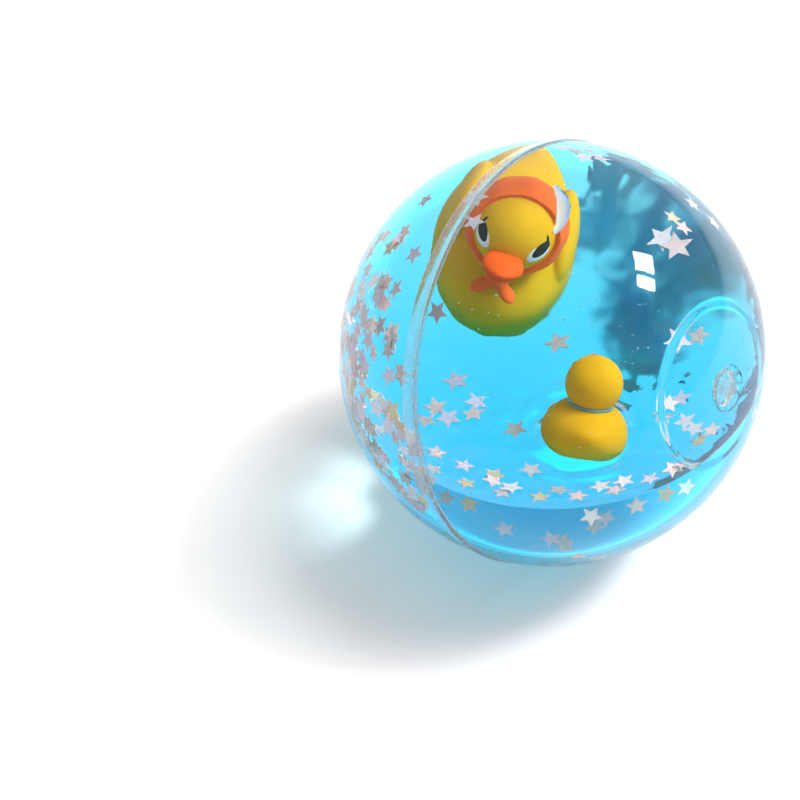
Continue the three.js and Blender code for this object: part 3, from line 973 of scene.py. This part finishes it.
def foil(name, strewn):
    coat, tree, body, out = new_finish(name)
    grain = noise_bump(tree, body, *FOIL_GRAIN)
    if strewn:
        tint = add_node(tree, "VertexColor")
        tint.layer_name = "star_tint"
        tree.links.new(tint.outputs["Color"], body.inputs["Base Color"])
    else:
        info = add_node(tree, "ObjectInfo")
        stops = [(i / len(STAR_TINTS), color) for i, color in enumerate(STAR_TINTS)]
        colored_by(tree, info.outputs["Random"], stops, body, "CONSTANT")
    ranged(tree, grain, *FOIL_ROUGH, body.inputs["Roughness"])
    set_values(body, {"Metallic": FOIL_METAL})
    return coat


star_foil = foil("star_foil_finish", False)
loose_foil = foil("loose_star_foil", True)
star_solids = [node for name, node in nodes.items() if name.startswith("star_")]
for node in star_solids:
    node.data.materials.clear()
    node.data.materials.append(star_foil)
print("star solids in foil:", len(star_solids))

# %% Loose stars
chance = random.Random(11)
STAR_RADIUS = 1.68
STAR_NOTCH = 0.45
STAR_HALF_THICK = 0.03
STAR_SIZES, STAR_SHADES = (0.9, 1.08), (0.85, 1.1)
WALL_TIP, FLOAT_TIP = 16, 12


def star_points(spin, size):
    points = []
    for i in range(10):
        out = size * (1 if i % 2 == 0 else STAR_NOTCH)
        turn = math.radians(36 * i + spin)
        points.append(Vector((out * math.cos(turn), out * math.sin(turn), 0)))
    return points


def add_star(bm, tints, matrix, tint):
    rim = star_points(chance.uniform(0, 72), STAR_RADIUS * chance.uniform(*STAR_SIZES))
    rise = Vector((0, 0, STAR_HALF_THICK))
    top = [bm.verts.new(matrix @ (p + rise)) for p in rim]
    low = [bm.verts.new(matrix @ (p - rise)) for p in rim]
    faces = [bm.faces.new(top), bm.faces.new(low[::-1])]
    faces += [bm.faces.new((top[i - 1], low[i - 1], low[i], top[i])) for i in range(10)]
    for face in faces:
        for loop in face.loops:
            loop[tints] = (*tint, 1)


def tipped(most):
    """A small chance tip of a star that lies flat."""
    across = rotated(chance.uniform(-most, most), "X", 4)
    return across @ rotated(chance.uniform(-most, most), "Y", 4)


def wall_matrix(azimuth, elevation, depth, raised=0):
    turn = rotated(azimuth, "Z", 4) @ rotated(90 - elevation, "Y", 4)
    lie = rotated(-raised, "Y", 4) @ tipped(WALL_TIP)
    return turn @ Matrix.Translation((0, 0, INNER_RADIUS / MM - depth)) @ lie


def float_star(x, y):
    tip = tipped(FLOAT_TIP)
    return Matrix.Translation((x, y, WATER_LEVEL / MM + chance.uniform(-0.2, 0.5))) @ tip


def strew(name, matrices, whose, painted_light=1):
    bm = bmesh.new()
    tints = bm.loops.layers.float_color.new("star_tint")
    for matrix in matrices:
        # The chance factor is the foil's own uneven tone; the drift's factor on top of it is
        # painted light.
        shade = chance.uniform(*STAR_SHADES) * painted_light
        add_star(bm, tints, matrix, [min(1, c * shade) for c in chance.choice(STAR_TINTS)])
    mesh = raw_mesh(bm, name)
    mesh.transform(Matrix.Scale(MM, 4))
    drift = add_object(name, mesh, loose_foil)
    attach(drift, whose)
    print(name, len(matrices), "stars")


print("a loose star is", 2 * STAR_RADIUS, "mm across")

# %% Drifts on the wall
LEFT_INNER = [(168, 46), (186, 44), (205, 38), (222, 26), (236, 4)]
LEFT_OUTER = [(150, 26), (168, 14), (188, 8), (202, -4), (232, -18)]
# The second number makes the left drift's foil lighter: painted light on stars whose side towards
# the camera lies in shade.
LEFT_STARS, LEFT_PAINTED_LIGHT = 200, 1.3
LEFT_CROWDING, LEFT_HUGGING = 0.8, 2.4
FAR_STARS = 66
FAR_LOW, FAR_HIGH, FAR_NARROW_BELOW = -43, -14, -34
FAR_NARROW, FAR_WIDE = (68, 79), (57, 83)
DRIFT_DEPTH = (0.6, 1.3)


def along_line(points, share):
    step = min(int(share * (len(points) - 1)), len(points) - 2)
    return Vector(points[step]).lerp(Vector(points[step + 1]), share * (len(points) - 1) - step)


def left_drift(count):
    made = []
    for _ in range(count):
        along = chance.random() ** LEFT_CROWDING
        inward = chance.random() ** LEFT_HUGGING
        place = along_line(LEFT_OUTER, along).lerp(along_line(LEFT_INNER, along), inward)
        made.append(wall_matrix(*place, chance.uniform(*DRIFT_DEPTH)))
    return made


def far_drift(count):
    made = []
    for _ in range(count):
        elevation = chance.uniform(FAR_LOW, FAR_HIGH)
        azimuth = chance.uniform(*(FAR_NARROW if elevation < FAR_NARROW_BELOW else FAR_WIDE))
        made.append(wall_matrix(azimuth, elevation, chance.uniform(*DRIFT_DEPTH)))
    return made


strew("left_star_drift", left_drift(LEFT_STARS), "shell", LEFT_PAINTED_LIGHT)
strew("far_star_drift", far_drift(FAR_STARS), "shell")

# %% Stars set one by one
CLINGING = [(-174, 50), (154, 49), (157, 68), (-177, 69), (-142, 48), (-130, 9), (-19, -3),
            (63, 60), (70, 63), (77, 60), (71, 57), (84, 58), (7, 52), (11, 55)]
SUNK = [(-103, -11), (-90, -14), (-87, -15), (-79, -4), (-75, -6), (-78, -9), (-66, -4),
        (-57, -4), (-120, -4), (-113, -3), (-86, -19), (-50, -6)]
AFLOAT = [(-10.6, -5.7), (-8.5, -9), (-13.3, -9.5), (-15, -12), (-12, -11.5), (-9, -11),
          (-4.2, -13.5), (-2.5, -21), (9.5, -24), (16, -21.5), (-17.3, -18.3), (-7.5, -23.5),
          (-5.2, -25), (1, -25.5), (6.5, -25), (10.5, 13.5), (12, 12.5), (13.5, 0.5), (15.6, 1.2),
          (2, 27), (5, 26.4), (7, 25.6), (0.7, 0.4), (13.5, -9.5), (14.8, -8.6), (13, -11.2),
          (16, -12.4), (17.6, -14.2), (18.6, -15.8), (20.2, -14.4)]
CLINGING_DEPTH, SUNK_DEPTH, SUNK_RAISED = 0.9, 1.6, 45
strew("clinging_stars", [wall_matrix(a, e, CLINGING_DEPTH) for a, e in CLINGING], "shell")
strew("sunk_stars", [wall_matrix(a, e, SUNK_DEPTH, SUNK_RAISED) for a, e in SUNK], "liquid")
strew("afloat_stars", [float_star(x, y) for x, y in AFLOAT], "liquid")

# %% [markdown]
# ## Pin bubbles
# Pin bubbles hang in the oil and cling to the wall. White dots would look like dust. Air in oil
# bends light the other way, so the index is below one, and each bubble gets a bright heart in a
# dark ring.

# %% Pin bubbles
PIN_COUNT = 130
PIN_PLACE = ((-150, 5), (2, 62), (0.6, 5))
PIN_RADIUS, PIN_SQUASH = (0.05, 0.13), (0.8, 0.95)
PIN_GRAIN = (4000, 0.05, 0.00001)
pin_coat, tree, body, out = clear_finish("pin_bubble_air", CLEAR, 1 / OIL_IOR, mirror=1)
noise_bump(tree, body, *PIN_GRAIN)


def pin_bubbles(name, count):
    bm = bmesh.new()
    for _ in range(count):
        turn = wall_matrix(*[chance.uniform(*span) for span in PIN_PLACE])
        radius = chance.uniform(*PIN_RADIUS)
        place = turn @ Matrix.Diagonal((1, 1, chance.uniform(*PIN_SQUASH), 1))
        bmesh.ops.create_uvsphere(bm, u_segments=12, v_segments=8, radius=radius, matrix=place)
    mesh = raw_mesh(bm, name)
    mesh.transform(Matrix.Scale(MM, 4))
    mesh.shade_smooth()
    return mesh


pins = add_object("pin_bubbles", pin_bubbles("pin_bubbles", PIN_COUNT), pin_coat)
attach(pins, "liquid")
print("pin bubbles:", len(pins.data.polygons), "faces")

# %% [markdown]
# ## Floor and sky
# The ball stands on white paper under an even sky. One white plane would do, but the lamps light
# it a little below white, so a Light Path switch gives it another white for camera, mirror and
# glass rays. For the camera it runs into plain white away from the ball, so low views have no
# grey horizon. The sky works the same way: it lights at half strength and shows paler.

# %% Floor
FLOOR_SHOWN = {"Is Camera Ray": 1.16, "Is Glossy Ray": 1.0, "Is Transmission Ray": 0.82}
FLOOR_REACH = 4.0
PAPER_NEAR, PAPER_FAR = 0.25, 0.7


def grey(white):
    return (white, white, white, 1)


floor_coat, tree, body, out = new_finish("studio_floor")
set_values(body, {"Base Color": grey(0.9), "Roughness": 0.9, "Specular IOR Level": 0})
path = add_node(tree, "LightPath")
shader = body.outputs["BSDF"]
for kind, white in FLOOR_SHOWN.items():
    bright = add_node(tree, "BsdfDiffuse", {"Color": grey(white)})
    shown = bright.outputs["BSDF"]
    if kind == "Is Camera Ray":
        paper = add_node(tree, "Emission", {"Strength": 1})
        paler = away_from(tree, (0, 0, 0), PAPER_NEAR, PAPER_FAR, 0, 1)
        shown = mix_by(tree, paler, shown, paper.outputs["Emission"])
    shader = mix_by(tree, path.outputs[kind], shader, shown)
tree.links.new(shader, out.inputs["Surface"])
floor_mesh = bpy.data.meshes.new("studio_floor")
corners = [(x * FLOOR_REACH, y * FLOOR_REACH, -BALL_RADIUS) for x, y in
           ((-1, -1), (1, -1), (1, 1), (-1, 1))]
floor_mesh.from_pydata(corners, [], [(0, 1, 2, 3)])
add_object("studio_floor", floor_mesh, floor_coat)
print("floor at", round(-BALL_RADIUS / MM, 1), "mm")

# %% Sky
SKY_LIGHT, SKY_SHOWN = 0.5, 0.8
sky = bpy.data.worlds.new("studio_sky")
scene.world = sky
sky.use_nodes = True
tree = sky.node_tree
lit = tree.nodes["Background"]
set_values(lit, {"Color": grey(1), "Strength": SKY_LIGHT})
path = add_node(tree, "LightPath")
shader = lit.outputs["Background"]
for kind in FLOOR_SHOWN:
    shown = add_node(tree, "Background", {"Color": grey(SKY_SHOWN), "Strength": 1})
    shader = mix_by(tree, path.outputs[kind], shader, shown.outputs["Background"])
tree.links.new(shader, tree.nodes["World Output"].inputs["Surface"])
print("sky lights at", SKY_LIGHT, "and shows", SKY_SHOWN)

# %% [markdown]
# ## Lamps
# A softbox of two panes at the right makes the split highlight, and a wide bank overhead, kept
# out of mirrors and glass, softens the shadow. A real ball also gathers light like a lens.
# Cycles could trace that as caustics, with much noise, so three small spots by the floor stand
# for it: two at the left, and a blue-green one behind, seen from the front through the ball.

# %% Lamps
KEY_AT = Vector((0.696, 0.157, 0.701)) * 0.7
KEY_POWER = 145
PANE = 0.118
PANE_GAP = 0.026
BANK_AT = Vector((0.5, 0.12, 0.86)) * 0.9
BANK_SIZE, BANK_POWER = 0.42, 4.5
LEFT_TINT, LEFT_POWER, LEFT_SPREAD = (0.72, 0.97, 1.0), 0.0045, 66
UNDER_TINT, UNDER_POWER, UNDER_SPREAD = (0.12, 0.92, 1.0), 0.024, 70


def hang(name, lamp, place, target, mirrored):
    thing = bpy.data.objects.new(name, lamp)
    scene.collection.objects.link(thing)
    thing.location = place
    thing.rotation_euler = (Vector(target) - thing.location).to_track_quat("-Z", "Y").to_euler()
    thing.visible_glossy = thing.visible_transmission = mirrored
    print(name, round(lamp.energy, 4), "W")
    return thing


def softbox(name, place, width, height, power, mirrored=True):
    lamp = bpy.data.lights.new(name, "AREA")
    lamp.shape = "RECTANGLE"
    lamp.size, lamp.size_y, lamp.energy = width, height, power
    return hang(name, lamp, place, (0, 0, 0), mirrored)


def gathered(name, place, target, power, color, spread, soft):
    lamp = bpy.data.lights.new(name, "SPOT")
    lamp.energy, lamp.color, lamp.shadow_soft_size = power, color, soft
    lamp.spot_size, lamp.spot_blend = math.radians(spread), 1.0
    hang(name, lamp, place, (*target, -BALL_RADIUS), False)


for name, side, wide in (("key_pane_upper", 1, 0.12), ("key_pane_lower", -1, 0.08)):
    pane = softbox(name, KEY_AT, wide, PANE, KEY_POWER * PANE * wide)
    aside = Vector((side * (wide + PANE_GAP) / 2, 0, 0))
    pane.location += pane.rotation_euler.to_matrix() @ aside
softbox("overhead_bank", BANK_AT, BANK_SIZE, BANK_SIZE, BANK_POWER, mirrored=False)
for name, aside in (("gathered_light_near", -0.0042), ("gathered_light_far", 0.0022)):
    gathered(name, (-0.0252, aside, -0.0232), (-0.0365, aside * 1.25 - 0.0012),
             LEFT_POWER, LEFT_TINT, LEFT_SPREAD, 2 * MM)
gathered("gathered_light_under", (0.002, 0.039, -0.0185), (0.0, 0.017),
         UNDER_POWER, UNDER_TINT, UNDER_SPREAD, 1 * MM)

# %% [markdown]
# ## Camera
# The photograph looks down on the ball at about 48 degrees with a long lens, and the ball sits
# right of the middle and above it. The camera is set back until the ball's outline has the
# right size. A lens shift would bring the ball to its place too, but the camera is turned aside
# instead, because a shift would change the outline.

# %% Camera
LENS = 100
IMAGE = 800
BALL_AT = (551.1, 353.2)
BALL_SEEN = 213.3
SENSOR = 36
LOOK_DOWN = 48
focal = IMAGE * LENS / SENSOR
elevation = math.radians(LOOK_DOWN)
back = Vector((0, -math.cos(elevation), math.sin(elevation)))
camera_data = bpy.data.cameras.new("camera")
camera_data.lens = LENS
camera = bpy.data.objects.new("camera", camera_data)
scene.collection.objects.link(camera)
camera.location = back * (BALL_RADIUS / math.sin(math.atan(BALL_SEEN / focal)))
across, up = BALL_AT[0] - IMAGE / 2, IMAGE / 2 - BALL_AT[1]
to_ball = Vector((across / focal, up / focal, -1)).normalized()
look = (-back).to_track_quat("-Z", "Y") @ to_ball.rotation_difference(Vector((0, 0, -1)))
camera.rotation_euler = look.to_euler()
scene.camera = camera
print("camera at", [round(c / MM) for c in camera.location])

# %% [markdown]
# ## Light through many surfaces
# A ray through shell, oil, water and shell again meets a dozen surfaces, and more where stars and
# bubbles lie. With the default number of bounces it would end inside, in black. The renderer's
# own caustics stay off, because the small spots stand for them.

# %% Render settings for clear bodies
CLEAR_BOUNCES = 36
scene.view_settings.view_transform = "Standard"
scene.cycles.max_bounces = CLEAR_BOUNCES
scene.cycles.transmission_bounces = CLEAR_BOUNCES
scene.cycles.transparent_max_bounces = CLEAR_BOUNCES
scene.cycles.caustics_refractive = False
scene.cycles.caustics_reflective = False
print("bounces:", CLEAR_BOUNCES)
